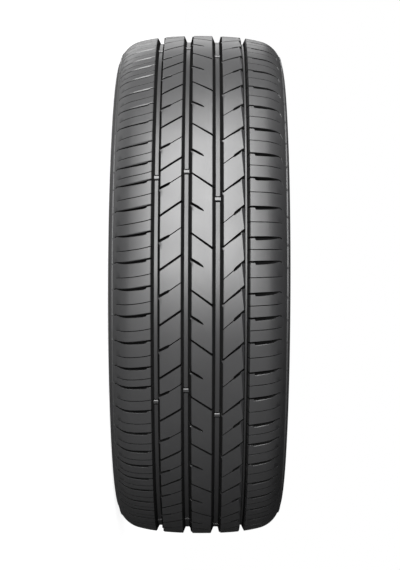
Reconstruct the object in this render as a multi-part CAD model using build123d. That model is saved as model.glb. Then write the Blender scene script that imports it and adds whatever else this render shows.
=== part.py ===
from build123d import *
import os
from math import cos, degrees, pi, radians, sin, tan

# A passenger-car tyre as one moulded rubber body, in millimetres.
# It lies on one sidewall, with its axis on Z and its centre at the origin.
# Arc lengths along the tread start at the -Y side and run about +Z.

# Size of the tyre: 205 wide, 55 percent high, for a 16 inch rim.
outer_diameter = 632.0       # over the crown of the tread
section_width = 205.0        # over the two sidewalls
rim_diameter = 405.6         # bead seat of the rim
rim_width = 165.0            # between the outer faces of the two beads
flats = 60                   # flat facets round the tyre, each 0.4 mm off the true round

# Outline of the section.
crown_drop = 4.1             # even fall of the crown, from its middle to the tread's edge
crown_edge_drop = 3.0        # further fall, gathered near the tread's edge
edge_slope = 15.0            # degrees from the axis where the shoulder's rounding begins
shoulder_radius = 32.0       # rounding between tread and sidewall
shoulder_slope = 68.0        # degrees from the axis where that rounding ends
sidewall_bulge = 5.1         # from the end of the rounding out to the widest place
widest_height = 61.0         # of the widest place above the bead seat
flange_height = 16.0         # of the bead's outer face, which the rim's flange covers
heel_chamfer = 6.0           # at the bead's outer corner
bead_width = 20.0            # from the bead's outer face to its toe
toe_height = 3.0             # of the bead's flat toe
crown_thickness = 17.0       # rubber and belts, from the crown to the lining
sidewall_thickness = 8.5     # at the widest place
lining_corner = 34.0         # axial reach of the lining's rounded corner
bore_stock = 1.0             # left inside the bead seats, then bored out

# Straight bands that stand for each round stretch of the outline.
shoulder_bands = 2
sidewall_bands = 2
lining_bands = 2

# Grooves round the tread, from the -Z side: middle and width at the surface.
groove_1_middle = -48.35
groove_1_width = 9.9
groove_2_middle = -14.2
groove_2_width = 11.6
groove_3_middle = 20.55
groove_3_width = 12.1
groove_4_middle = 52.7
groove_4_width = 6.2
groove_depth = 8.0
groove_lean = 16.0           # degrees that the walls lean outwards

# Wear bars across the floors of the three wide grooves. Two neighbours in each groove lie at arc lengths
# of their own, and the others share out the rest of the round.
wear_bars = 8                # in each groove
wear_bar_height = 1.2
wear_bar_length = 4.8
wear_bar_1_first = -126.0
wear_bar_1_next = 140.0
wear_bar_2_first = -132.8
wear_bar_2_next = 124.0
wear_bar_3_first = -98.6
wear_bar_3_next = 156.2

# Cuts across the ribs, all V-shaped.
cut_overrun = 1.0            # of a cut into the groove beside its rib
rib_cut_width = 2.6
rib_cut_depth = 5.5
sipe_width = 2.0             # of the thin cuts right across the middle rib
sipe_depth = 4.5
shoulder_cut_width = 3.4
shoulder_cut_depth = 5.5     # at the tread's edge
shoulder_cut_start = 4.0     # depth at the end near the groove
shoulder_cut_inset = 5.0     # from groove 1 or 4 to the start of a shoulder's cut
shoulder_cut_slope = 38.0    # degrees from the axis where a shoulder's cut runs out on the rounding
rib_2_climb = -16.0          # arc length that a cut gains as it crosses its rib towards +Z
middle_climb = 17.0
rib_4_climb = -20.0
left_shoulder_climb = 2.5    # and a shoulder's cut as it runs outwards
right_shoulder_climb = -2.3
half_cut = 0.5               # share of its rib that a half cut crosses
notch_share = 0.56           # share of the middle rib that a notch crosses

# Lengths of pattern, short, middle and long, mixed so that the tread doesn't hum on one note.
# The -Z half of the tread (left) and the +Z half (right) keep their own lengths and order.
left_pitch = {"s": 23.4, "m": 27.3, "l": 30.5}
left_order = "mmmlmslllllllsllmsss" + "msmlllmmslllmsmllsms" + "mmlslmsllmmslmllsmsl" + "mslmsmslllss"
left_start = -270.8          # arc length where the order begins
left_shoulder_lag = -11.2    # of the shoulder's cuts behind those of rib 2
right_pitch = {"s": 27.6, "m": 31.5, "l": 35.3}
right_order = "llllmllslsslmlsmlm" + "mlsmlmsslmlsmslsmllm" + "sllmssmlmlslmslmsmls" + "slll"
right_start = -299.4
right_shoulder_lag = 4.0     # of the shoulder's cuts behind those of the middle rib
rib_4_lead = 12.6            # of rib 4's cuts before the middle rib's next ones

# Places that follow from the sizes above.
tread_radius = outer_diameter / 2
seat_radius = rim_diameter / 2
half_width = section_width / 2
widest_radius = seat_radius + widest_height
bead_face = rim_width / 2
shoulder_end = half_width - sidewall_bulge
tread_edge = shoulder_end - shoulder_radius * (sin(radians(shoulder_slope)) - sin(radians(edge_slope)))
edge_radius = tread_radius - crown_drop - crown_edge_drop
left_rib_edge = groove_1_middle - groove_1_width / 2
rib_2_left = groove_1_middle + groove_1_width / 2
rib_2_right = groove_2_middle - groove_2_width / 2
middle_left = groove_2_middle + groove_2_width / 2
middle_right = groove_3_middle - groove_3_width / 2
rib_4_left = groove_3_middle + groove_3_width / 2
rib_4_right = groove_4_middle - groove_4_width / 2
right_rib_edge = groove_4_middle + groove_4_width / 2


def surface(z):
    """Radius of the tread's surface at an axial place z."""
    share = z / tread_edge
    return tread_radius - crown_drop * share**2 - crown_edge_drop * share**4


def shoulder_point(slope):
    """Point of the shoulder's rounding where the outline slopes by so many degrees."""
    run = sin(radians(slope)) - sin(radians(edge_slope))
    fall = cos(radians(edge_slope)) - cos(radians(slope))
    return (edge_radius - shoulder_radius * fall, tread_edge + shoulder_radius * run)


def outside():
    """Outline of one side, as (radius, z), from the tread's edge round to the bead's toe."""
    step = (shoulder_slope - edge_slope) / shoulder_bands
    points = [shoulder_point(edge_slope + step * i) for i in range(shoulder_bands + 1)]
    points.append((widest_radius, half_width))
    foot = seat_radius + flange_height
    for i in range(1, sidewall_bands + 1):
        t = i / sidewall_bands
        tuck = (half_width - bead_face) * t**2
        points.append((widest_radius - (widest_radius - foot) * t, half_width - tuck))
    points.append((seat_radius - bore_stock, bead_face))
    points.append((seat_radius - bore_stock, bead_face - bead_width))
    return points


def inside():
    """Outline of one side's lining, from the bead's toe up to the flat lining under the tread."""
    toe = seat_radius + toe_height
    toe_z = bead_face - bead_width
    lining = tread_radius - crown_thickness
    wide = half_width - sidewall_thickness
    points = []
    for i in range(sidewall_bands + 1):
        t = 1 - i / sidewall_bands
        points.append((widest_radius - (widest_radius - toe) * t, wide - (wide - toe_z) * t**1.5))
    for i in range(1, lining_bands + 1):
        turn = radians(90 * i / lining_bands)
        rise = (lining - widest_radius) * sin(turn)
        points.append((widest_radius + rise, wide - lining_corner * (1 - cos(turn))))
    return points


def groove(middle, width):
    """Corners of a groove in the tread: edge, floor, floor, edge."""
    lean = groove_depth * tan(radians(groove_lean))
    left = middle - width / 2
    right = middle + width / 2
    floor = surface(middle) - groove_depth
    return [(surface(left), left), (floor, left + lean), (floor, right - lean), (surface(right), right)]


def section():
    """Closed outline of the tyre's section, as (radius, z), from the -Z lining round to the +Z lining."""
    side = outside() + inside()
    tread = groove(groove_1_middle, groove_1_width) + groove(groove_2_middle, groove_2_width)
    tread += groove(groove_3_middle, groove_3_width) + groove(groove_4_middle, groove_4_width)
    return [(r, -z) for r, z in reversed(side)] + tread + side


def ring(outline):
    """Solid ring of a closed outline carried round Z in flats."""
    turns = [2 * pi * (i + 0.5) / flats for i in range(flats + 1)]
    corners = [[Vector(r * cos(a), r * sin(a), z) for r, z in outline] for a in turns]
    faces = []
    for here, there in zip(corners, corners[1:]):
        for i in range(len(outline)):
            faces.append(Face(Wire.make_polygon([here[i - 1], here[i], there[i], there[i - 1]])))
    return Solid(Shell(faces))


def bead_bore():
    """Tool that bores both bead seats and chamfers their heels."""
    seat_end = bead_face - heel_chamfer
    top = seat_radius + heel_chamfer
    side = [(0, bead_face), (top, bead_face), (seat_radius, seat_end)]
    outline = side + [(r, -z) for r, z in reversed(side)]
    return revolve(Plane.XZ * make_face(Polyline(*outline, close=True)), Axis.Z)


def on_tread(shape, arc):
    """A shape made on the +X side, carried round to an arc length along the tread."""
    return Rot(0, 0, degrees(arc / tread_radius) - 90) * shape


def v_cut(start, end, width, depth):
    """Cutter of V section, on the +X side, with its root run straight from start to end.

    Both are (root's radius, arc, z). The V is as wide as width at depth above its root.
    """
    root = Vector(*start)
    along = Vector(*end) - root
    upright = Vector(1, 0, 0) - along * (along.X / along.length**2)
    triangle = make_face(Polyline((0, 0), (2 * depth, width), (2 * depth, -width), close=True))
    return extrude(Plane(root, x_dir=upright, z_dir=along) * triangle, amount=along.length)


def rib_cut(left, right, climb, width, depth, first=0.0, last=1.0):
    """Cut across a rib that climbs from its left to its right edge, or a share of it from first to last."""
    ends = []
    for share, overrun in ((first, -cut_overrun), (last, cut_overrun)):
        z = left + (right - left) * share
        if share in (0.0, 1.0):
            z += overrun
        ends.append((surface(z) - depth, climb * (z - left) / (right - left), z))
    return v_cut(ends[0], ends[1], width, depth)


def shoulder_cut(edge, side, climb):
    """Cut across a shoulder, from near its groove at edge to where it runs out on the rounding."""
    near = edge + side * shoulder_cut_inset
    far_radius, far = shoulder_point(shoulder_cut_slope)
    return v_cut(
        (surface(near) - shoulder_cut_start, 0, near),
        (far_radius, climb, side * far),
        shoulder_cut_width,
        shoulder_cut_depth,
    )


def pitch_starts(order, lengths, start):
    """Arc length where each pitch begins, and its own length, scaled to close the round."""
    scale = 2 * pi * tread_radius / sum(lengths[c] for c in order)
    starts = []
    arc = start
    for c in order:
        starts.append((arc, lengths[c] * scale))
        arc += lengths[c] * scale
    return starts


def left_cuts():
    """Cuts of rib 2 and of the shoulder beside it; every second cut of the rib is a half cut."""
    shoulder = shoulder_cut(left_rib_edge, -1, left_shoulder_climb)
    whole = rib_cut(rib_2_left, rib_2_right, rib_2_climb, rib_cut_width, rib_cut_depth)
    half = rib_cut(rib_2_left, rib_2_right, rib_2_climb, rib_cut_width, rib_cut_depth, last=half_cut)
    cuts = []
    for i, (arc, _) in enumerate(pitch_starts(left_order, left_pitch, left_start)):
        cuts.append(on_tread(shoulder, arc + left_shoulder_lag))
        cuts.append(on_tread(whole if i % 2 else half, arc))
    return cuts


def right_cuts():
    """Cuts of the middle rib, rib 4 and the shoulder; every second cut of a rib crosses only part of it."""
    shoulder = shoulder_cut(right_rib_edge, 1, right_shoulder_climb)
    sipe = rib_cut(middle_left, middle_right, middle_climb, sipe_width, sipe_depth)
    notch = rib_cut(middle_left, middle_right, middle_climb, rib_cut_width, rib_cut_depth, last=notch_share)
    whole = rib_cut(rib_4_left, rib_4_right, rib_4_climb, rib_cut_width, rib_cut_depth)
    half = rib_cut(rib_4_left, rib_4_right, rib_4_climb, rib_cut_width, rib_cut_depth, first=1 - half_cut)
    cuts = []
    for i, (arc, length) in enumerate(pitch_starts(right_order, right_pitch, right_start)):
        cuts.append(on_tread(sipe if i % 2 else notch, arc))
        cuts.append(on_tread(whole if i % 2 else half, arc + length - rib_4_lead))
        cuts.append(on_tread(shoulder, arc + right_shoulder_lag))
    return cuts


def wear_bars_in(middle, width, first, following):
    """Low bars across a groove's floor: the first, the one that follows it, and the rest evenly spaced."""
    floor = surface(middle) - groove_depth
    bar = Pos(floor, 0, middle) * Box(2 * wear_bar_height, wear_bar_length, width)
    step = (2 * pi * tread_radius - (following - first)) / (wear_bars - 1)
    places = [first] + [following + step * i for i in range(wear_bars - 1)]
    return [on_tread(bar, place) for place in places]


bars = wear_bars_in(groove_1_middle, groove_1_width, wear_bar_1_first, wear_bar_1_next)
bars += wear_bars_in(groove_2_middle, groove_2_width, wear_bar_2_first, wear_bar_2_next)
bars += wear_bars_in(groove_3_middle, groove_3_width, wear_bar_3_first, wear_bar_3_next)

tyre = ring(section()) + bars
tyre = tyre - (left_cuts() + right_cuts())
tyre = tyre - bead_bore()

os.makedirs("parts", exist_ok=True)
export_step(tyre, "parts/tyre.step")
print("tyre:", len(tyre.solids()), "solid,", round(tyre.volume / 1e6, 3), "litres")
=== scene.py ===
# %% [markdown]
# # A car tyre, seen square on to its tread
# The tyre is one moulded rubber ring that lies on its sidewall, with its axis on Z and its centre at the
# origin. The CAD solid has the same size, within half a millimetre, and carries the mounts; this lesson
# builds the skin that the eye sees, as one closed mesh worked out with numpy, and then gives it rubber, light
# and a camera. The tread is worked out in millimetres and becomes metres with its mesh; camera, floor and
# lamps are in metres at once.

# %% Load the shared frame
import bpy
import numpy as np
from mathutils import Matrix, Vector


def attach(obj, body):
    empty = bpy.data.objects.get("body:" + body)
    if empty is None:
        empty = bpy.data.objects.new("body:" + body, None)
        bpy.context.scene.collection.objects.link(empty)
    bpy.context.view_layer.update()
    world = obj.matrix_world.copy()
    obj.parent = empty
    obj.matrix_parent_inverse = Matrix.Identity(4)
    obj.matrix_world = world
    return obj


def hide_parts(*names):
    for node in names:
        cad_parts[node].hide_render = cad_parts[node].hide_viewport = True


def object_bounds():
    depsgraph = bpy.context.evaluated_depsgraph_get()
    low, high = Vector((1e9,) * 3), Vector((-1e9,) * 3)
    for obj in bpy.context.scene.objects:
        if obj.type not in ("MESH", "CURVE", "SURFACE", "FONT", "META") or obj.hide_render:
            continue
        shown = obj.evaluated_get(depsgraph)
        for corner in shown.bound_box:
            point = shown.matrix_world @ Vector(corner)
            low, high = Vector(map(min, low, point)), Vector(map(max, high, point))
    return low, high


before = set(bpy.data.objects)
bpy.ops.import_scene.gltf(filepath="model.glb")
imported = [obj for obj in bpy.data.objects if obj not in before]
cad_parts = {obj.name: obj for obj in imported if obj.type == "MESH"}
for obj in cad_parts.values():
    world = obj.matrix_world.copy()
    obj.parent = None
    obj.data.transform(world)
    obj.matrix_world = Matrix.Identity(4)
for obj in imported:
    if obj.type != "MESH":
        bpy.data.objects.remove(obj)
cad_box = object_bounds()
print("solid's box, m:", [round(v, 4) for corner in cad_box for v in corner])

# %% [markdown]
# ## Camera
# The picture looks at the tread along +Y with the tyre's axis level, so the picture's right is +Z and its top
# is -X. Distance and focal length come from how fast the grooves draw together towards the top and bottom.
# A camera's matrix could be built with a Track To constraint, but three axes written as columns show plainly
# which way each side of the picture points.

# %% Camera at the photograph's viewing angle
picture_height = 570        # pixels
focal_pixels = 1639.6       # focal length in the same pixels
stand_off = 2.108           # m, from the tyre's axis to the lens
lowering = 0.0006           # m, that the lens stands below the tyre's middle
swing = np.radians(0.17)    # the lens stands a touch to the right of square
tilt = np.radians(0.17)     # and leans a touch

lens = bpy.data.cameras.new("camera")
lens.sensor_fit = "VERTICAL"
lens.sensor_height = 24.0
lens.lens = lens.sensor_height * focal_pixels / picture_height
camera = bpy.data.objects.new("camera", lens)
bpy.context.scene.collection.objects.link(camera)
bpy.context.scene.camera = camera

back = Vector((0, -np.cos(swing), np.sin(swing)))
right = Vector((0, np.sin(swing), np.cos(swing)))
top = Vector((-1, 0, 0))
side = right * np.cos(tilt) + top * np.sin(tilt)
upright = top * np.cos(tilt) - right * np.sin(tilt)
camera.matrix_world = Matrix((side, upright, back)).transposed().to_4x4()
camera.location = back * stand_off - top * lowering
print("lens:", round(lens.lens, 2), "mm on a", lens.sensor_height, "mm frame, from", round(stand_off, 3), "m")

# %% [markdown]
# ## Outline of the tread
# Every point of the skin has three numbers: how far round the tread it lies (an arc length in mm, 0 where
# the tread faces the camera, growing downwards in the picture), its radius and its z. The crown falls gently
# from its middle to the tread's edge and then rolls over a rounding into the sidewall. Both are plain
# formulas, so a whole row of places is worked out at once.

# %% Crown and shoulder
radius = 316.0              # mm, over the crown
round_trip = 2 * np.pi * radius
tread_edge = 76.0           # z where the crown ends and the rounding between tread and sidewall begins
even_fall = 4.1             # of the crown's radius by its edge, with the square of z
edge_fall = 3.0             # and with the fourth power, which is felt near the edge only
rounding_radius = 33.5
rounding_start = np.radians(15.0)       # slope at the tread's edge
rounding_end = np.radians(74.0)         # and where the sidewall takes over
half_width = 102.5          # at the sidewall's widest place


def crown(z):
    """Radius of the tread: the full radius less a fall with the square and the fourth power of z."""
    share = z / tread_edge
    return radius - even_fall * share**2 - edge_fall * share**4


def rounding(slope):
    """(z, radius) where the shoulder's rounding, an arc, has turned to a slope from the axis."""
    z = tread_edge + rounding_radius * (np.sin(slope) - np.sin(rounding_start))
    return z, crown(tread_edge) - rounding_radius * (np.cos(rounding_start) - np.cos(slope))


wall_z, wall_top = rounding(rounding_end)
sidewall_radius = (half_width - wall_z) / (1 - np.sin(rounding_end))    # of an arc that runs on smoothly
widest_radius = wall_top - sidewall_radius * np.cos(rounding_end)
print("sidewall from radius", round(wall_top, 1), "mm, widest at radius", round(widest_radius, 1), "mm")

# %% [markdown]
# ## Where the cuts are
# A tread with even spacing would hum, so a real one mixes short, middle and long pitches. The two halves of
# this tread keep orders of their own. A string holds each order, and one cumulative sum turns it into places.

# %% Pitches of the two halves
left_pitch = {"s": 23.4, "m": 27.3, "l": 30.5}      # mm
left_order = "mmmlmslllllllsllmsss" + "msmlllmmslllmsmllsms" + "mmlslmsllmmslmllsmsl" + "mslmsmslllss"
left_start = -270.8         # arc length where the left order begins, near the top of the picture
right_pitch = {"s": 27.6, "m": 31.5, "l": 35.3}
right_order = "llllmllslsslmlsmlm" + "mlsmlmsslmlsmslsmllm" + "sllmssmlmlslmslmsmls" + "slll"
right_start = -299.4        # and where the right one does


def pitch_places(order, lengths, start):
    """Arc length where each pitch begins, and its length: a running sum, scaled to close the round."""
    run = np.array([lengths[c] for c in order])
    run = run * round_trip / run.sum()
    return start + np.cumsum(run) - run, run


left_place, left_run = pitch_places(left_order, left_pitch, left_start)
right_place, right_run = pitch_places(right_order, right_pitch, right_start)
print("pitches:", len(left_place), "on the left half,", len(right_place), "on the right half")

# %% [markdown]
# ## A rib's skin
# A rib is a strip round the tyre with cuts across it. It could be cut with booleans, but those leave ragged
# faces by the thousand. Here the strip is a grid whose rows run round the tyre and whose columns follow the
# slant of the cuts, so each cut is just six columns of the grid: two lips, two bevels and two feet. The land
# between two cuts is a few columns more. A row says where it lies and which way is inwards, so the same
# function serves a flat rib, the wall of a groove and the shoulder's rounding. Each face also gets one of
# three finishes: the tread's own, or one of two painted shades that darken the hollows and dull their sheen.

# %% Grid of a rib with its cuts
tread_face, mild_shade, deep_shade = range(3)       # the tread's own finish, then mild and deep painted shade for hollows
cut_columns = 6
lower_lip = cut_columns - 1
lands = {"rib 2": 2, "middle": 3, "rib 4": 3, "shoulder": 1}    # even columns between two cuts
close_share = 0.1           # of the way to the next cut, where one more column lies close below a cut
wall_run = 0.05             # share of a cut's width that each of its walls takes
tick_run = 0.3              # the same for a raised tick, whose depth is below nought
least_bevel = 0.02          # share of the width that a bevel takes at least
shallow = 0.3               # mm; where a cut is no deeper, its faces keep the tread's finish, with no painted shade
rib_bevels = ((0.12, 1.6), (0.06, 1.6))     # share and spare width of a cut's upper and lower bevel


def land_shares(land):
    """Where the columns between two cuts lie, as shares of the way: one close below a cut, the rest even."""
    return np.append(close_share, (np.arange(land) + 1) / (land + 1))


def rib_skin(rows, lip, width, depth, land, bevels=rib_bevels):
    """Grid of (arc, radius, z) for a rib and the finish of its faces: columns lie along its cuts.

    rows holds z, radius, dz and dr: a point sunk by d moves by d*dz and d*dr. lip is the arc length of each
    cut's upper lip on each row. Columns of a cut: lip, bevel's foot, foot, foot, bevel's foot, lower lip. The
    feet are sunk by depth. bevels holds (share, spare) of the upper and the lower bevel, which takes a share
    of what the cut's width has over the spare width, and is as deep as it is wide. The upper bevel has the
    tread's own finish, the lower one the mild painted shade of a groove's floor, and the walls and bottom
    between them the deep painted shade; where the cut is no deeper than shallow, all keep the tread's own.
    """
    z, r, dz, dr = rows
    lower = lip + width
    slope = np.where(depth < 0, tick_run, wall_run) * width
    upper, under = [np.maximum(share * (width - spare), least_bevel * width) for share, spare in bevels]
    columns = [lip, lip + upper, lip + upper + slope, lower - under - slope, lower - under, lower]
    following = np.concatenate([lip[1:], lip[:1] + round_trip])
    between = lower[:, None] + (following - lower)[:, None] * land_shares(land)[:, None]
    arc = np.concatenate([np.stack(columns, axis=1), between], axis=1)
    sunk = np.zeros_like(arc)
    sunk[:, 1] = np.clip(depth, 0, upper)
    sunk[:, 2:4] = depth[:, None]
    sunk[:, 4] = np.clip(depth, 0, under)
    # painted shade: a cut's walls and bottom get the deep one, its lower bevel the mild one
    finish = np.full(arc.shape[1], tread_face)
    finish[1:4] = deep_shade
    finish[4] = mild_shade
    deep = (depth[:, 1:] + depth[:, :-1]) / 2 > shallow
    finish = np.where(deep[:, None], finish[:, None], tread_face)
    arc, sunk, finish = [values.reshape(-1, values.shape[-1]) for values in (arc, sunk, finish)]
    return arc, r + sunk * dr, z + sunk * dz, finish


columns_between = {name: len(land_shares(land)) for name, land in lands.items()}
print("columns:", cut_columns, "in a cut, and on the land between two cuts", columns_between)

# %% [markdown]
# ## Rows of a rib
# Four grooves run round the tread. A rib's first and last rows lie a little way down the walls of the grooves
# beside it, so that its edge has a small bevel that catches the light, as a moulded edge does.

# %% Grooves and the rows between them
groove_depth = 8.0
bevel = 0.5                 # of a rib's edges
grooves = np.array([        # edge, floor, floor, edge of each groove, in mm from the tyre's middle
    [-53.3, -49.6, -46.0, -43.4],
    [-20.0, -16.5, -12.5, -8.4],
    [14.5, 18.2, 22.6, 26.6],
    [49.6, 50.9, 52.6, 55.8],
])
fillet = 0.9                # height of the hollow rounding between a wall and its floor
wall_share = 0.8            # of the way from edge to floor that the wall takes; the rounding takes the rest
wall_reach = wall_share * np.stack([grooves[:, 1] - grooves[:, 0], grooves[:, 3] - grooves[:, 2]])
wall_lean = wall_reach / (groove_depth - fillet)


def wall_row(z, lean, drop=bevel):
    """One row on a groove's wall, a drop below the edge at z; sinking follows the wall's lean."""
    return np.array([[z + drop * lean], [crown(z) - drop], [lean], [-1.0]])


def crown_rows(z):
    """Rows on the crown at the places z; sinking goes straight towards the axis."""
    z = np.asarray(z, float)
    return np.stack([z, crown(z), 0 * z, 0 * z - 1])


def rib_rows(left, right, places):
    """Rows of the rib between two grooves: wall, bevel's top, the places between, bevel's top, wall."""
    z0, z1 = grooves[left, 3], grooves[right, 0]
    first = wall_row(z0, -wall_lean[1][left])
    inner = crown_rows([z0 + bevel, *places, z1 - bevel])
    last = wall_row(z1, wall_lean[0][right])
    return np.concatenate([first, inner, last], axis=1)


print("grooves:", len(grooves), "at", grooves.mean(axis=1).round(1).tolist(), "mm")

# %% [markdown]
# ## The three ribs
# The cuts of rib 2 and rib 4 climb one way and those of the middle rib the other. Every second cut is wide
# over half its rib only: the rest is a thin line on ribs 2 and 4, and nothing on the middle rib. Because the
# width and the depth are given row by row, a cut that changes on its way is no more work than a plain one.

# %% How a rib gets its cuts, with rib 2 as the first
def cut_sizes(z, tables, count):
    """What a cut's table says on each row, by straight runs between its points, for each cut round the tyre.

    A point of a table starts with its z; its other numbers, such as width and depth, are each given back.
    The tables take turns round the tyre, so two of them make every second cut alike.
    """
    tables = [np.transpose(table) for table in tables]
    kinds = range(1, len(tables[0]))
    sizes = np.array([[np.interp(z, table[0], table[kind]) for table in tables] for kind in kinds])
    return sizes[:, np.arange(count) % len(tables)]


def slant(z, start, span, climb):
    """Arc length of each cut's line on each row: a straight climb from its start across the span."""
    return start[:, None] + climb * (z - span[0])[None, :] / (span[1] - span[0])


def cut_rib(left, right, places, half, whole, start, span, climb, land):
    """Grid of the rib between two grooves, with half and whole cuts in turn along slanted lines.

    half and whole hold (z, lip, width, depth) points, where lip is the way from the line to the upper lip.
    """
    rows = rib_rows(left, right, places)
    lip, width, depth = cut_sizes(rows[0], [half, whole], len(start))
    return rib_skin(rows, lip + slant(rows[0], start, span, climb), width, depth, land)


skins = {}
skins["rib 2"] = cut_rib(
    left=0, right=1, places=[-40.0, -36.5, -33.6, -32.4, -29.0, -25.0],
    half=[(-43, -3.55, 3.9, 6.2), (-33.6, -1.8, 3.6, 6.2), (-32.4, -0.7, 1.4, 4.5), (-20, -0.7, 1.4, 4.5)],
    whole=[(0, -1.2, 3.2, 6.2)],
    start=left_place, span=(-43.4, -20.6), climb=-16.0, land=lands["rib 2"])
print("rib 2:", skins["rib 2"][0].shape, "columns and rows")

# %% Middle rib and rib 4
rib_4_lead = 12.6           # mm that a cut of rib 4 starts above the next pitch
skins["middle"] = cut_rib(
    left=1, right=2, places=[-5.0, -1.0, 3.8, 5.0, 8.0, 11.0],
    half=[(-8, -0.8, 3.5, 6.2), (-1, -1.75, 3.8, 6.2), (3.8, -1.45, 2.4, 5.5),
          (5, -0.2, 0.3, 0), (15, -0.2, 0.3, 0)],
    whole=[(-8, -1.5, 2.5, 6.2), (-4.5, -1.6, 2.7, 6.2), (10, -1.9, 3.2, 6.2), (15, -2.0, 3.3, 6.2)],
    start=right_place, span=(-8.4, 13.7), climb=16.0, land=lands["middle"])
skins["rib 4"] = cut_rib(
    left=2, right=3, places=[30.0, 34.0, 37.6, 38.8, 42.0, 45.5],
    half=[(26, -0.3, 1.2, 4.5), (37.6, -0.45, 1.4, 4.5), (38.8, -2.1, 4.2, 6.2), (50, -2.15, 4.4, 6.2)],
    whole=[(26, -1.3, 2.2, 5.5), (34, -1.55, 2.6, 6.2), (38.8, -1.55, 3.3, 6.2), (50, -1.75, 4.6, 6.2)],
    start=right_place + right_run - rib_4_lead, span=(26.4, 49.7), climb=-20.0, land=lands["rib 4"])
print("ribs:", {name: skin[0].shape for name, skin in skins.items()})

# %% [markdown]
# ## Nicks
# Where every second cut opens into the groove on its left, the corner below it juts out by a millimetre or so
# and catches the light. One point is moved in each of these cuts: the lower lip's, on the rib's first row.

# %% Corners below the cuts
nick = 1.5                  # mm
nicked = {                  # number of cuts, and the first one that has a nick
    "rib 2": (len(left_place), 0), "middle": (len(right_place), 0), "rib 4": (len(right_place), 1),
}
for name, (cuts, first_cut) in nicked.items():
    z = skins[name][2]
    z.reshape(cuts, -1, z.shape[1])[first_cut::2, lower_lip, 0] -= nick
print("nicks of", nick, "mm on", ", ".join(nicked))

# %% [markdown]
# ## The saw-tooth edge of rib 4
# Beside the narrow groove, rib 4 is chamfered: the chamfer starts wide below each cut and runs out above the
# next, so the edge looks like a saw. It only takes moving two rows of the finished grid by a ramp that starts
# anew in every pitch.

# %% Chamfer on rib 4
saw_width, saw_depth = 2.5, 2.6     # mm, of the chamfer where it is widest
saw_edge = grooves[3, 0]
tooth = np.concatenate([np.arange(cut_columns) >= cut_columns / 2, 1 - land_shares(lands["rib 4"])])
ramp = np.tile(tooth, len(right_place))
r, z = skins["rib 4"][1:3]
sunk = crown(z[:, -2]) - r[:, -2]
z[:, -2] -= saw_width * ramp
r[:, -2] = crown(z[:, -2]) - sunk
r[:, -1] = np.minimum(r[:, -1], crown(saw_edge) - bevel - saw_depth * ramp)
z[:, -1] = saw_edge + (crown(saw_edge) - r[:, -1]) * wall_lean[0][3]
print("saw-tooth edge from", round(z[:, -2].min(), 1), "to", round(z[:, -2].max(), 1), "mm")

# %% [markdown]
# ## The shoulders
# A shoulder runs from its groove over the rounding to the sidewall. Its main cuts start as a thin line, open
# into a blade and thin out on the rounding, and a fine sipe lies half way between two of them. A thin ridge
# runs round near the end of the rounding, with a small raised tick for each main cut, where the depth is
# below nought. On the left the tick is in line with the cut, and on the right about a fifth of a pitch lower.

# %% Rows and cuts of a shoulder
rounding_ways = [0, 3, 6.5, 10.5, 14.5, 18.5, 22, 24.2, 27.2, 33.6]     # of rows, mm past the tread's edge
ridge_outline = np.array([  # mm past the ridge's foot, and height
    (-1.0, 0.0), (-0.5, -0.3), (0.0, -0.3), (0.9, 0.9), (1.8, 0.8), (2.6, 0.0),
])
tick = 0.7                  # mm, of the small raised marks beside the ridge's foot
move_start, move_length = 91.0, 3.5     # z where a blade's line moves over to its tick, and mm that it takes
fine_sipe = [               # z, width and depth
    (54, 1.0, 4.0), (84, 1.0, 3.5), (88, 0.7, 1.2), (91, 0.6, 0.0), (97, 0.6, 0.0),
]


def shoulder_rows(edge, lean, drop, places, foot, rise):
    """Rows from a groove's wall at edge over the crown's places and the rounding, and the ridge's foot row.

    drop is how far down the wall the first row lies, and foot how far past the tread's edge the ridge rises.
    The ridge's outline gives mm past the foot and height, and rise is a factor on the height.
    """
    flat = np.concatenate([wall_row(edge, -lean, drop), crown_rows([edge + bevel, *places])], axis=1)
    ways = np.sort([*rounding_ways, *(foot + ridge_outline[:, 0])])
    slope = rounding_start + ways / rounding_radius
    z, r = rounding(slope)
    ridge = rise * np.interp(ways - foot, *ridge_outline.T)
    bend = np.stack([z + ridge * np.sin(slope), r + ridge * np.cos(slope), -np.sin(slope), -np.cos(slope)])
    return np.concatenate([flat, bend], axis=1), flat.shape[1] + np.searchsorted(ways, foot)


def shoulder_skin(rows, foot_row, place, run, bends, blade, bevels, tick_shift):
    """A shoulder's grid, with blades at the places and fine sipes half way along each pitch.

    bends gives (z, arc) points of a blade's upper lip and of a sipe's, to which cubics are fitted. blade
    gives (z, width, depth) points, with straight runs between them. tick_shift is how far a tick lies below
    its blade.
    """
    z = rows[0]
    lips = [np.polyval(np.polyfit(*np.transpose(points), deg=3), z) for points in bends]
    lips[0] += tick_shift * np.clip((z - move_start) / move_length, 0, 1)
    lip = np.stack([place[:, None] + lips[0], (place + run / 2)[:, None] + lips[1]], axis=1)
    width, depth = cut_sizes(z, [blade, fine_sipe], 2 * len(place))
    depth[::2, foot_row - 1:foot_row + 1] = -tick
    return rib_skin(rows, lip.reshape(width.shape), width, depth, lands["shoulder"], bevels)


print("ridge:", np.ptp(ridge_outline[:, 0]), "mm wide, with ticks of", tick, "mm")

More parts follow.
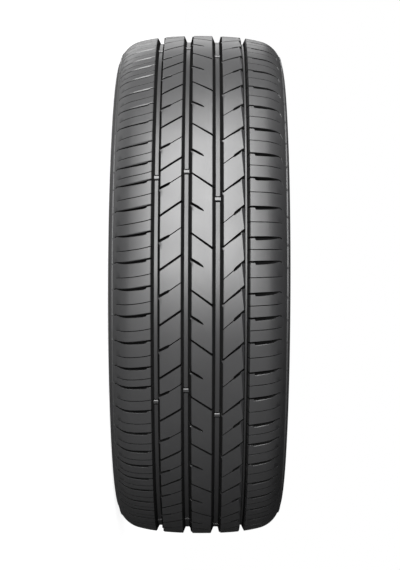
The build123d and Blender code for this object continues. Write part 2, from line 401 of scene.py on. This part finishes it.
# %% Left shoulder, worked out as if it were on the right and then mirrored
left_lead = 7.5             # mm that a blade starts above its pitch
left_rows = shoulder_rows(
    edge=-grooves[0, 0], lean=wall_lean[0][0], drop=bevel,
    places=[56.2, 57.6, 58.4, 62.0, 66.5, 71.0], foot=25.6, rise=0.85)
left_bends = [
    [(54, -6.3), (59.8, -5.5), (70, -3.6), (80, -2.4), (88, -2.2), (97, -3.0)],
    [(54, -3.9), (66, -1.2), (78, 0.2), (88, 0.8), (97, 0.8)],
]
left_blade = [
    (54, 2.5, 5.0), (57.6, 2.5, 5.0), (58.4, 4.0, 7.0), (62, 4.5, 7.5), (84, 3.2, 5.5), (88, 2.1, 3.0),
    (92.5, 0.9, 0.4), (94.5, 3.4, 0.0), (99, 3.4, 0.0),
]
as_right = shoulder_skin(
    *left_rows, left_place - left_lead, left_run, left_bends, left_blade,
    bevels=((0.3, 0.8), (0.1, 1.6)), tick_shift=0.0)
arc, r, z, finish = [values[:, ::-1] for values in as_right]
skins["left shoulder"] = arc, r, -z, finish
print("left shoulder:", arc.shape, "columns and rows")

# %% Right shoulder
right_lag = 2.9             # mm that a blade starts below its pitch
right_rows = shoulder_rows(
    edge=grooves[3, 3], lean=wall_lean[1][3], drop=4.0,
    places=[58.5, 61.2, 62.0, 65.0, 69.0, 73.0], foot=29.5, rise=1.1)
right_bends = [
    [(54, -0.5), (62, -1.0), (74, -1.5), (82, -1.9), (90, -2.3), (97, -2.8)],
    [(54, 0.0), (66, -0.4), (78, -0.9), (88, -1.5), (97, -1.9)],
]
right_blade = [
    (54, 2.4, 5.0), (61.2, 2.4, 5.0), (62, 4.7, 7.0), (65, 5.0, 7.5), (75, 4.5, 6.5), (82, 3.6, 5.5),
    (86, 2.4, 3.0), (90.5, 0.8, 0.4), (94.5, 3.4, 0.0), (99, 3.4, 0.0),
]
skins["right shoulder"] = shoulder_skin(
    *right_rows, right_place + right_lag, right_run, right_bends, right_blade,
    bevels=((0.05, 1.6), (0.36, 3.6)), tick_shift=6.6)
print("right shoulder:", skins["right shoulder"][0].shape, "columns and rows")

# %% [markdown]
# ## Groove floors and wear bars
# A floor is a ring of its own with its own columns, because it has nothing to do with the slanted cuts. Low
# bars cross the three wide floors at eight places and show when the tread is worn down to them. A bar is ten
# columns closer together: the middle four are lifted, and two beyond each end are sunk into a fine slot. The
# narrow groove's floor has the same columns, left level.

# %% Floors of the grooves
bar_count, bar_length, bar_bevel = 8, 4.8, 0.8
bar_drop = 0.7              # mm that a bar falls over its bevel
slot_width, slot_depth = 1.3, 1.8       # of the fine slots at a bar's two ends
slot_wall = 0.1             # mm that a slot's wall takes
floor_steps = 28            # from one bar to the next
rounding_shares = np.array([0, 0.4, 1.0])       # of the way over the hollow rounding, where its rows lie
floor_rows = 2 * len(rounding_shares)


def floor_skin(number, bars, height):
    """Grid of a groove's floor and its finish: columns with wear bars, rows with a rounding at each wall.

    bars holds the places of two neighbouring bars; the others share out the rest of the round evenly. The
    rounding's height falls with the square of the way that is left to the floor. A bar's faces keep the
    tread's own finish; the slots and the faces beside the walls get the deep painted shade, and the rest of
    the floor the mild painted shade.
    """
    rest = bars[0] + round_trip - bars[1]
    start = np.append(bars[0], bars[1] + rest / (bar_count - 1) * np.arange(bar_count - 1))[:, None]
    step = np.append(start[1:], start[0] + round_trip)[:, None] - start
    half, reach = bar_length / 2, bar_length / 2 + slot_width
    bar = np.array([half - bar_bevel, half, half + slot_wall, reach - slot_wall, reach])
    spread = reach + (step - 2 * reach) * np.arange(1, floor_steps) / floor_steps
    arc = np.concatenate([start - bar[::-1], start + bar, start + spread], axis=1).reshape(-1, 1)
    rise = np.array([height, height - bar_drop, -slot_depth, -slot_depth, 0]) * (height > 0)
    lift = np.tile(np.concatenate([rise[::-1], rise, np.zeros(floor_steps - 1)]), bar_count)[:, None]

    rounded = fillet * (1 - rounding_shares) ** 2
    rounded = np.concatenate([rounded, rounded[::-1]])
    edge_0, z0, z1, edge_1 = grooves[number]
    foot_0, foot_1 = edge_0 + wall_reach[0, number], edge_1 - wall_reach[1, number]
    left_z, right_z = foot_0 + (z0 - foot_0) * rounding_shares, foot_1 + (z1 - foot_1) * rounding_shares[::-1]
    z = np.concatenate([left_z, right_z])
    raised = np.where(lift > 0, np.maximum(rounded, lift), rounded + lift * (rounded < fillet))
    outwards = np.maximum(raised - fillet, 0) * (rounded == fillet)
    z = z + outwards * np.repeat([-wall_lean[0, number], wall_lean[1, number]], len(rounding_shares))

    # painted shade: slots and the faces beside the walls are darkened with the deep shade, the floor with the
    # mild one; bars keep the tread's own finish
    following = np.roll(lift, -1)
    on_bar = (lift > 0) | (following > 0)
    in_slot = (lift < 0) & ~on_bar | (following < 0) & (lift == 0)
    finish = np.where(in_slot, deep_shade, np.where(on_bar, tread_face, mild_shade))
    finish = np.repeat(finish, floor_rows - 1, axis=1)
    finish[:, [0, -1]] = np.where(finish[:, [0, -1]] == tread_face, tread_face, deep_shade)
    return np.repeat(arc, floor_rows, axis=1), crown((z0 + z1) / 2) - groove_depth + raised, z, finish


bar_places = [(-126.0, 140.0), (-132.8, 124.0), (-98.6, 156.2), (-110.0, 138.0)]    # two in each groove
bar_heights = [1.2, 1.2, 1.2, 0.0]      # the narrow groove has none
for number, (bars, height) in enumerate(zip(bar_places, bar_heights)):
    skins[f"floor {number + 1}"] = floor_skin(number, bars, height)
print("floors:", skins["floor 1"][0].shape, "columns and rows each")

# %% [markdown]
# ## Sidewalls
# What is left of the tyre has no pattern round it, so it is a profile turned about the axis. The sidewall is
# an arc above its widest place and a parabola below it; low moulded rings stand on it, and a stouter one, the
# rim line, just above the rim. Each ring is four points of the profile, so its edges stay crisp.

# %% Profile of the sidewall
bead_face = 82.5            # z of the bead's outer face, where the parabola ends
parabola_drop = 45.0        # mm from the widest place down to that end
wall_foot = 219.5           # radius of the sidewall's last point
wall_gap = 0.5              # mm of radius from the rounding's end to the sidewall's first point
wall_points = 17            # beside those of the rings
ring_bevel = 0.4
rings = np.array([          # radius, width and height of each moulded ring
    [282.0, 1.6, 0.5], [278.5, 1.0, 0.4], [245.0, 1.2, 0.5], [241.8, 1.0, 0.4], [226.5, 4.2, 1.5],
])


def sidewall(r):
    """z of the sidewall at radius r: an arc down to the widest place, then a parabola, plus the rings."""
    over = np.clip((r - widest_radius) / sidewall_radius, 0, 1)
    under = np.clip((widest_radius - r) / parabola_drop, 0, 1)
    z = half_width - sidewall_radius * (1 - np.sqrt(1 - over**2)) - (half_width - bead_face) * under**2
    reach = (rings[:, 1, None] - 2 * np.abs(r - rings[:, 0, None])) / (2 * ring_bevel) + 1
    return z + (np.clip(reach, 0, 1) * rings[:, 2, None]).sum(axis=0)


both_ways = np.array([-1, 1])
ring_tops = rings[:, :1] + rings[:, 1:2] * both_ways / 2
ring_feet = ring_tops + ring_bevel * both_ways
even_r = np.linspace(wall_top - wall_gap, wall_foot, wall_points)
wall_r = np.sort(np.concatenate([even_r, ring_feet.ravel(), ring_tops.ravel()]))[::-1]
print("sidewall:", len(wall_r), "points with", len(rings), "rings")

# %% [markdown]
# ## Beads and lining
# The bead is the foot that grips the rim: it is bored to the rim's seat, with a rounded heel outside and a
# small toe inside. The lining runs from the toe up the inside of the sidewall and across under the tread. One
# half is worked out and the other is its mirror image, so the two beads are sure to match.

# %% Profile from one shoulder round the inside to the other, turned about the axis
seat_radius = 202.8         # of the rim's seat
heel_radius, heel_points = 6, 6
bead_top = 212.0            # radius where the sidewall's foot has come to the bead's outer face
lining_foot = 205.8         # radius where the lining leaves the toe
lining_width = 94.0         # z of the lining where the tyre is widest
lining_tuck = 31.5          # mm that it draws in from there to its foot
lining_power = 1.5          # of the way down, with which it draws in
lining_radius = 299.0       # under the tread
lining_corner = 34.0        # mm that the corner below the shoulder takes across the tyre
lining_points = 7           # of the side and of the corner, each less its first one
body_steps = 160            # round the tyre

turn = np.radians(np.linspace(0, 90, heel_points))
heel = np.stack([seat_radius + heel_radius * (1 - np.sin(turn)),
                 bead_face - heel_radius * (1 - np.cos(turn))])
bead = np.array([[bead_top, bead_face]]).T
toe = np.array([[seat_radius, 63.2], [203.4, 62.6], [205.4, 62.5]]).T
down = np.linspace(1, 0, lining_points)[1:]
lining_side = np.stack([widest_radius - (widest_radius - lining_foot) * down,
                        lining_width - lining_tuck * down**lining_power])
bend = np.radians(np.linspace(0, 90, lining_points))[1:]
lining_bend = np.stack([widest_radius + (lining_radius - widest_radius) * np.sin(bend),
                        lining_width - lining_corner * (1 - np.cos(bend))])
lining_flat = np.array([[lining_radius, 40.0], [lining_radius, 20.0]]).T
half_r, half_z = np.concatenate(
    [[wall_r, sidewall(wall_r)], bead, heel, toe, lining_side, lining_bend, lining_flat], axis=1)
body_r = np.concatenate([half_r, [lining_radius], half_r[::-1]])
body_z = np.concatenate([half_z, [0.0], -half_z[::-1]])
body_arc = np.arange(body_steps) * round_trip / body_steps
plain = np.full((body_steps, len(body_r) - 1), tread_face)
skins["body"] = *np.broadcast_arrays(body_arc[:, None], body_r[None, :], body_z[None, :]), plain
print("profile of", len(body_r), "points, carried round in", body_steps, "steps")

# %% [markdown]
# ## One closed skin
# The strips lie in order round the tyre's section, but their columns don't match. Each strip's last row and
# the next strip's first row are closed rings, and two rings are sewn together with triangles, as a zip
# closes: every edge of either ring gets a triangle whose tip is the other ring's last point before the
# edge's end.

# %% Sew the strips together
order = ["left shoulder", "floor 1", "rib 2", "floor 2", "middle", "floor 3", "rib 4", "floor 4",
         "right shoulder", "body"]
groove_seams = 2 * len(grooves)     # the first seams in this order are the walls of the grooves
mm = 0.001                  # m


def sew(ring_a, angle_a, ring_b, angle_b):
    """Triangles between two closed rings of points: each edge's tip is found by its angle with one search."""
    turn = 2 * np.pi
    first, second = np.argsort(angle_a % turn), np.argsort(angle_b % turn)
    a, b = (angle_a % turn)[first], (angle_b % turn)[second]
    ring_a, ring_b = ring_a[first], ring_b[second]
    next_a, next_b = np.append(a[1:], a[0] + turn), np.append(b[1:], b[0] + turn)
    tip_b = (np.searchsorted(np.concatenate([b - turn, b, b + turn]), next_a, "left") - 1) % len(b)
    tip_a = (np.searchsorted(np.concatenate([a - turn, a, a + turn]), next_b, "right") - 1) % len(a)
    on_a = np.stack([ring_a, np.roll(ring_a, -1), ring_b[tip_b]], axis=1)
    on_b = np.stack([ring_a[tip_a], np.roll(ring_b, -1), ring_b], axis=1)
    return np.concatenate([on_a, on_b])


points, quads, ids, angles, finishes = [], [], [], [], []
count = 0
for name in order:
    arc, r, z, finish = skins[name]
    angle = arc / radius
    points.append(np.stack([r * np.sin(angle), -r * np.cos(angle), z], axis=-1).reshape(-1, 3))
    grid = count + np.arange(arc.size).reshape(arc.shape)
    beside = np.roll(grid, -1, axis=0)
    quads.append(np.stack([grid[:, :-1], beside[:, :-1], beside[:, 1:], grid[:, 1:]], axis=-1).reshape(-1, 4))
    ids.append(grid)
    angles.append(angle)
    finishes.append(finish.ravel())
    count += arc.size
pairs = list(zip(range(len(order)), np.roll(np.arange(len(order)), -1)))
sewn = [sew(ids[i][:, -1], angles[i][:, -1], ids[j][:, 0], angles[j][:, 0]) for i, j in pairs]
# painted shade: the walls of the grooves get the deep shade of a cut's walls; the other seams keep the
# tread's own finish
seam_finish = np.where(np.arange(len(sewn)) < groove_seams, deep_shade, tread_face)
finishes.append(np.repeat(seam_finish, [len(seam) for seam in sewn]))
finishes = np.concatenate(finishes).astype(np.int32)
points, quads, seams = np.concatenate(points) * mm, np.concatenate(quads), np.concatenate(sewn)
print("skin:", len(points), "points,", 2 * len(quads) + len(seams), "triangles")

# %% [markdown]
# ## The mesh
# The arrays go into a mesh in one call. Moulded rubber has soft shading with crisp lips at its cuts, so faces
# are smooth and only edges that bend by more than a set angle are sharp. A closed mesh whose faces point
# outwards has a volume above nought: a sixth of the triple product of each triangle's corners, summed.

# %% Put the skin into a mesh
crisp_angle = np.radians(32)

mesh = bpy.data.meshes.new("tyre_skin")
mesh.from_pydata(points.tolist(), [], quads.tolist() + seams.tolist())
mesh.polygons.foreach_set("use_smooth", np.ones(len(mesh.polygons), bool))
mesh.set_sharp_from_angle(angle=crisp_angle)
mesh.polygons.foreach_set("material_index", finishes)
tyre = bpy.data.objects.new("tyre_skin", mesh)
bpy.context.scene.collection.objects.link(tyre)
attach(tyre, "root")
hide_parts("tyre")

triangles = np.concatenate([seams, quads[:, [0, 1, 2]], quads[:, [0, 2, 3]]])
a, b, c = points[triangles].transpose(1, 0, 2)
volume = np.einsum("ij,ij->i", a, np.cross(b, c)).sum() / 6
print("closed volume:", round(volume * 1000, 3), "litres")

# %% [markdown]
# ## Moulded black rubber
# Tyre rubber is filled with carbon black: a very dark grey with a soft, broad sheen, and a fine grain from
# the mould. Its colour barely varies, so what the eye reads is mostly the sheen: the roughness changes a
# little from patch to patch, and a low bump breaks up the reflections. One function makes three finishes:
# the tread's face has the rubber's own tone and shines most. The other two are painted shade for the
# hollows: the grooves' floors a tone darker with a little less sheen, and the walls of cuts darker still,
# rougher and without sheen.

# %% Rubber
rubber_ior = 1.7            # plain rubber has about 1.5; this one is matched to the sheen
patch_size = 0.03           # m, of the patches in which tone and sheen drift
grain_size = 0.0016         # m; a mould's grain is finer than a pixel, so it is drawn as coarse as it shows
mix_factor, mix_a, mix_b, mix_result = 0, 6, 7, 2       # sockets of a Mix node that mixes colours


def linear(hex_colour):
    """Linear RGBA of an sRGB hex colour: each channel by the standard curve."""
    value = np.array([int(hex_colour[i:i + 2], 16) for i in (1, 3, 5)]) / 255
    value = np.where(value <= 0.04045, value / 12.92, ((value + 0.055) / 1.055) ** 2.4)
    return (*value.tolist(), 1.0)


def add(tree, kind, settings=None, values=None, links=None):
    """A node with its settings, its socket values and its links from other sockets."""
    node = tree.nodes.new(kind)
    for name, value in (settings or {}).items():
        setattr(node, name, value)
    for name, value in (values or {}).items():
        node.inputs[name].default_value = value
    for name, socket in (links or {}).items():
        tree.links.new(socket, node.inputs[name])
    return node


def moulded_rubber(name, dark, pale, roughness, level):
    """Rubber whose patches drift between two tones and two roughnesses, with a fine grain as a bump.

    level is the shader's specular level. The patches' noise lies mostly between 0.3 and 0.7.
    """
    rubber = bpy.data.materials.new(name)
    rubber.use_nodes = True
    tree = rubber.node_tree
    shader = tree.nodes["Principled BSDF"]
    shader.inputs["IOR"].default_value = rubber_ior
    shader.inputs["Specular IOR Level"].default_value = level
    spot = {"Vector": add(tree, "ShaderNodeTexCoord").outputs["Object"]}
    patches = add(tree, "ShaderNodeTexNoise", values={"Scale": 1 / patch_size, "Detail": 4.0}, links=spot)
    grain = add(tree, "ShaderNodeTexNoise", values={"Scale": 1 / grain_size, "Detail": 2.0}, links=spot)
    tone = add(tree, "ShaderNodeMix", {"data_type": "RGBA"}, {mix_a: linear(dark), mix_b: linear(pale)},
               {mix_factor: patches.outputs["Fac"]})
    sheen = add(tree, "ShaderNodeMapRange", None,
                {"From Min": 0.3, "From Max": 0.7, "To Min": roughness[0], "To Max": roughness[1]},
                {"Value": patches.outputs["Fac"]})
    bump = add(tree, "ShaderNodeBump", values={"Strength": 0.25, "Distance": 0.0001},
               links={"Height": grain.outputs["Fac"]})
    tree.links.new(tone.outputs[mix_result], shader.inputs["Base Color"])
    tree.links.new(sheen.outputs["Result"], shader.inputs["Roughness"])
    tree.links.new(bump.outputs["Normal"], shader.inputs["Normal"])
    return rubber


rubbers = {                 # dark and pale tone, least and most roughness, specular level
    "moulded_black_rubber": ("#1e1e1f", "#232324", (0.34, 0.4), 0.5),
    # painted shade for grooves' floors and lower bevels: a tone a little darker and less sheen
    "rubber_mild_painted_shade": ("#1c1c1d", "#212122", (0.34, 0.4), 0.38),
    # painted shade for the walls of cuts, grooves and slots: darker still, rough and with no sheen
    "rubber_deep_painted_shade": ("#1a1a1a", "#1e1e1e", (0.75, 0.85), 0.0),
}
for name, values in rubbers.items():
    mesh.materials.append(moulded_rubber(name, *values))
print("finishes:", [rubber.name for rubber in mesh.materials])

# %% [markdown]
# ## Floor
# The tyre lies on a sheet of white paper, which is at the picture's left because the picture is turned. The
# paper is matt, so it takes the tyre's shadow, and it glows to the camera only: that makes it as pale as the
# ground without throwing more light on the tyre. It casts no shadow and reflections pass it by, so lamps and
# room reach the shoulder beside it too.

# %% Floor
floor_reach = 6.0           # m, from its middle to each side
floor_gap = 0.0002          # m below the tyre, so that the two don't flicker through each other
floor_glow = 0.85           # what the camera sees beside the light that falls on it

floor_z = cad_box[0].z - floor_gap
corners = floor_reach * np.array([[-1, -1, 0], [1, -1, 0], [1, 1, 0], [-1, 1, 0]]) + [0, 0, floor_z]
floor_mesh = bpy.data.meshes.new("floor")
floor_mesh.from_pydata(corners.tolist(), [], [(0, 1, 2, 3)])
floor = bpy.data.objects.new("floor", floor_mesh)
bpy.context.scene.collection.objects.link(floor)
floor.visible_shadow = False
floor.visible_glossy = False

paper = bpy.data.materials.new("white_paper")
paper.use_nodes = True
tree = paper.node_tree
seen = add(tree, "ShaderNodeLightPath").outputs["Is Camera Ray"]
strength = add(tree, "ShaderNodeMath", {"operation": "MULTIPLY"}, {1: floor_glow}, {0: seen})
white = add(tree, "ShaderNodeEmission", values={"Color": linear("#ffffff")},
            links={"Strength": strength.outputs["Value"]})
matt = add(tree, "ShaderNodeBsdfDiffuse", values={"Color": linear("#e6e6e6")})
both = add(tree, "ShaderNodeAddShader", links={0: white.outputs[0], 1: matt.outputs[0]})
tree.links.new(both.outputs[0], tree.nodes["Material Output"].inputs["Surface"])
floor_mesh.materials.append(paper)
print("floor:", 2 * floor_reach, "m wide at z", round(floor_z, 4), "m")

# %% [markdown]
# ## Room
# Rubber shows its shape by what it reflects, so the room is a graded one: bright above and in front, darker
# below, behind and to the right, with one corner that is nearly black and one that glows a little. An image
# of a studio would do it too, but a few curves are easier to steer. Each curve gives a level by how far a
# look leans towards a direction. The ground is white to the camera only: metal or glass would have to mirror
# it, but a tyre has neither, and a white room all round would wash out the dark lower half of the tread.

# %% Graded room and white ground
def graded(tree, look, direction, levels):
    """Socket with a level by the look's lean, its dot product with a direction: 1 towards it, -1 away.

    levels holds (lean, level) points from -1 to 1, with straight runs between them.
    """
    lean = add(tree, "ShaderNodeVectorMath", {"operation": "DOT_PRODUCT"}, {1: direction}, {0: look})
    curve = add(tree, "ShaderNodeFloatCurve", links={"Value": lean.outputs["Value"]})
    curve.mapping.clip_min_x = -1.0
    line = curve.mapping.curves[0]
    line.points[0].location, line.points[1].location = levels[0], levels[-1]
    for point in levels[1:-1]:
        line.points.new(*point)
    for point in line.points:
        point.handle_type = "VECTOR"
    curve.mapping.update()
    return curve.outputs["Value"]


world = bpy.data.worlds.new("studio")
bpy.context.scene.world = world
world.use_nodes = True
tree = world.node_tree
tree.nodes.clear()
ray = add(tree, "ShaderNodeLightPath")
look = add(tree, "ShaderNodeTexCoord").outputs["Generated"]
upper_front = graded(tree, look, (-0.643, -0.766, 0.0), [
    (-1.0, 0.07), (-0.7, 0.21), (-0.5, 0.35), (0.0, 0.59), (0.3, 0.73), (0.6, 0.9), (0.8, 1.0), (1.0, 1.0)])
sides = graded(tree, look, (0, 0, 1), [
    (-1.0, 0.75), (-0.2, 1.0), (0.2, 1.0), (0.5, 0.8), (0.8, 0.48), (1.0, 0.17)])
behind = graded(tree, look, (0, 1, 0), [(-1.0, 1.0), (0.5, 1.0), (0.8, 0.45), (1.0, 0.06)])
dark_corner = graded(tree, look, (0.4, 0.6, 0.69), [(-1.0, 1.0), (0.8, 1.0), (0.92, 0.6), (1.0, 0.02)])
glowing_corner = graded(tree, look, (-0.5, 0.5, -0.707), [(-1.0, 0.0), (0.75, 0.0), (0.9, 0.22), (1.0, 0.6)])
rear = add(tree, "ShaderNodeMath", {"operation": "MULTIPLY"}, links={0: dark_corner, 1: behind})
shade = add(tree, "ShaderNodeMath", {"operation": "MULTIPLY"}, links={0: sides, 1: rear.outputs["Value"]})
level = add(tree, "ShaderNodeMath", {"operation": "MULTIPLY_ADD"},
            links={0: upper_front, 1: shade.outputs["Value"], 2: glowing_corner})
room = add(tree, "ShaderNodeBackground", values={"Color": linear("#ffffff")},
           links={"Strength": level.outputs["Value"]})
ground = add(tree, "ShaderNodeBackground", values={"Color": linear("#ffffff"), "Strength": 1.0})
pick = add(tree, "ShaderNodeMixShader",
           links={"Fac": ray.outputs["Is Camera Ray"], 1: room.outputs[0], 2: ground.outputs[0]})
add(tree, "ShaderNodeOutputWorld", links={"Surface": pick.outputs[0]})
print("room:", len(tree.nodes), "nodes")

# %% [markdown]
# ## Lamps
# One large soft box, the key, hangs above the camera and gives the broad bright band across the upper half of
# the tread. A wide, low one at the camera's level lifts the middle of the picture a little, a small fill
# above the tyre does the same for the top of the tread, and a weak one behind draws the upper outline.

# %% Soft boxes
def soft_box(name, direction, distance, size, power):
    """A rectangular lamp that faces the origin: its place is a direction times a distance, in metres."""
    lamp = bpy.data.lights.new(name, "AREA")
    lamp.shape = "RECTANGLE"
    lamp.size, lamp.size_y = size
    lamp.energy = power
    box = bpy.data.objects.new(name, lamp)
    out = Vector(direction).normalized()
    across = Vector((0, 0, 1))
    up = out.cross(across)
    box.matrix_world = Matrix((across, up, out)).transposed().to_4x4()
    box.location = out * distance
    box.visible_camera = False
    bpy.context.scene.collection.objects.link(box)


key_rise, top_rise = np.radians(35), np.radians(40)     # above the camera's level, in front and behind
lamps = {                   # direction from the origin, distance, width and height in m, power in W
    "key": ((-np.sin(key_rise), -np.cos(key_rise), 0.0), 2.3, (1.5, 3.2), 128.0),
    "low": ((0.09, -1.0, 0.0), 2.3, (3.4, 0.7), 10.0),
    "fill": ((-0.98, -0.2, 0.15), 2.3, (0.9, 0.5), 6.0),
    "top": ((-np.sin(top_rise), np.cos(top_rise), -0.12), 2.6, (1.6, 1.2), 9.0),
}
for name, lamp in lamps.items():
    soft_box(name, *lamp)

# %% [markdown]
# ## Colour view
# The Standard view shows colours about as they are written.

# %% Colour view
bpy.context.scene.view_settings.view_transform = "Standard"
